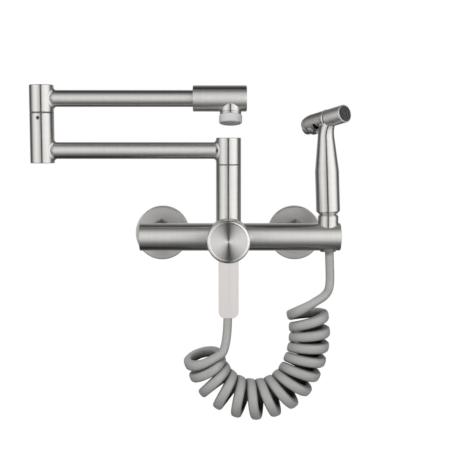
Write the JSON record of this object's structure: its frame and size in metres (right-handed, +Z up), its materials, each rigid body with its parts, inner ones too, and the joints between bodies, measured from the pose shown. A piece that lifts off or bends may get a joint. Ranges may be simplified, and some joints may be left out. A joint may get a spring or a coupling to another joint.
{
  "type": "wall-mounted kitchen faucet",
  "caption": "Wall-mounted kitchen faucet with a folding elbow spout, a single round lever with a flat blade, and a docked hand sprayer on a curly hose.",
  "frame": {"origin": "on the finished wall, midway between the axes of the two wall inlets", "axes": "+X to the right as the user looks at it, +Y into the wall, +Z up"},
  "size_m": [0.3424, 0.13, 0.3654],
  "materials": {
    "brushed_nickel": "fine brushed",
    "satin_nickel": "satin",
    "press_shell_nickel": "satin, darker",
    "brass": "machined",
    "ceramic": "lapped",
    "inner_plastic": "moulded",
    "seal_rubber": "matte",
    "steel": "plain",
    "collar_grey": "satin",
    "nozzle_dark": "matte",
    "hose_grey": "satin"
  },
  "bodies": {
    "valve": {"valve_body": "brushed_nickel", "bar_end_cap_left": "brushed_nickel", "bar_end_cap_right": "brushed_nickel", "dock_sleeve": "brushed_nickel", "hose_guide_bush": "nozzle_dark", "union_nut_left": "brushed_nickel", "union_nut_right": "brushed_nickel", "union_washers": "seal_rubber", "inlet_adapter_left": "brushed_nickel", "inlet_adapter_right": "brushed_nickel", "wall_rosette_left": "satin_nickel", "wall_rosette_right": "satin_nickel", "cartridge_base": "inner_plastic", "cartridge_housing": "inner_plastic", "ceramic_fixed_disc": "ceramic", "cartridge_lock_nut": "brass", "dome_ring": "brushed_nickel", "diverter_sleeve": "brass", "column_slide_ring": "inner_plastic", "column_set_screw": "steel", "hose_nut": "brushed_nickel", "hose_washer": "seal_rubber", "hose_ferrule": "brushed_nickel", "hose_lower_lead": "hose_grey", "hose_coil": "hose_grey", "hose_upper_lead": "hose_grey"},
    "turret": {"cartridge_turret": "inner_plastic", "turret_pin": "steel"},
    "mixing_disc": {"ceramic_moving_disc": "ceramic"},
    "lever": {"lever_cap": "brushed_nickel", "lever_blade": "brushed_nickel", "cartridge_spindle": "brass", "lever_grub_screw": "steel"},
    "lower_arm": {"swivel_head": "brushed_nickel", "lower_arm_tube": "brushed_nickel", "column_spigot": "brass", "column_seals": "seal_rubber", "elbow_lower": "brushed_nickel", "elbow_set_screw": "steel", "elbow_slide_ring": "inner_plastic"},
    "upper_arm": {"elbow_upper": "brushed_nickel", "upper_arm_tube": "brushed_nickel", "elbow_spigot": "brass", "elbow_seals": "seal_rubber", "head_retaining_ring": "steel", "head_seal": "seal_rubber"},
    "spout_head": {"spout_head": "brushed_nickel", "head_end_plug": "brushed_nickel", "aerator_gasket": "seal_rubber", "aerator_body": "inner_plastic", "spray_disc": "nozzle_dark"},
    "aerator_collar": {"aerator_collar": "collar_grey"},
    "sprayer": {"sprayer_body": "brushed_nickel", "nozzle_face": "nozzle_dark", "press_pin": "steel", "sprayer_hose_fitting": "brass", "hose_dock_run": "hose_grey"},
    "press_shell": {"sprayer_press_shell": "press_shell_nickel"},
    "plunger": {"valve_plunger": "brass"},
    "diverter": {"diverter_shuttle": "inner_plastic"}
  },
  "joints": [
    {"name": "lower_arm_swing", "type": "hinge", "parent": "valve", "child": "lower_arm", "pos_m": [0, -0.061, 0.1], "axis": [0, 0, 1], "range_deg": [-12, 150]},
    {"name": "elbow_swing", "type": "hinge", "parent": "lower_arm", "child": "upper_arm", "pos_m": [-0.2, -0.061, 0.15], "axis": [0, 0, 1], "continuous": true},
    {"name": "spout_head_turn", "type": "hinge", "parent": "upper_arm", "child": "spout_head", "pos_m": [0, -0.061, 0.1579], "axis": [1, 0, 0], "range_deg": [-79, 101]},
    {"name": "aerator_turn", "type": "hinge", "parent": "spout_head", "child": "aerator_collar", "pos_m": [0.0022, -0.061, 0.1579], "axis": [0, -0.1908, -0.9816], "range_deg": [0, 90]},
    {"name": "lever_temperature", "type": "hinge", "parent": "valve", "child": "turret", "pos_m": [0, -0.09, 0.009], "axis": [0, -1, 0], "range_deg": [-45, 45]},
    {"name": "lever_flow", "type": "hinge", "parent": "turret", "child": "lever", "pos_m": [0, -0.09, 0.009], "axis": [-1, 0, 0], "range_deg": [0, 20]},
    {"name": "disc_slide", "type": "slide", "parent": "turret", "child": "mixing_disc", "axis": [0, 0, -1], "range_m": [0, 0.0053]},
    {"name": "sprayer_lift", "type": "slide", "parent": "valve", "child": "sprayer", "axis": [-0.0384, 0, 0.9993], "range_m": [0, 0.05], "deforming": ["hose_coil", "hose_upper_lead"]},
    {"name": "sprayer_press", "type": "hinge", "parent": "sprayer", "child": "press_shell", "pos_m": [0.10473, -0.06184, 0.13542], "axis": [-0.7906, -0.6115, -0.0304], "range_deg": [0, 6], "stiffness_Nm_per_rad": 0.6, "springref_deg": -11.46},
    {"name": "plunger_slide", "type": "slide", "parent": "sprayer", "child": "plunger", "axis": [0.1377, -0.1292, -0.982], "range_m": [0, 0.00095]},
    {"name": "diverter_shift", "type": "slide", "parent": "valve", "child": "diverter", "axis": [0, 0, 1], "range_m": [0, 0.003]}
  ],
  "couplings": [
    {"joint": "disc_slide", "follows": "lever_flow", "m_per_rad": 0.015},
    {"joint": "plunger_slide", "follows": "sprayer_press", "m_per_rad": 0.009},
    {"joint": "diverter_shift", "follows": "sprayer_press", "m_per_rad": 0.0286}
  ]
}
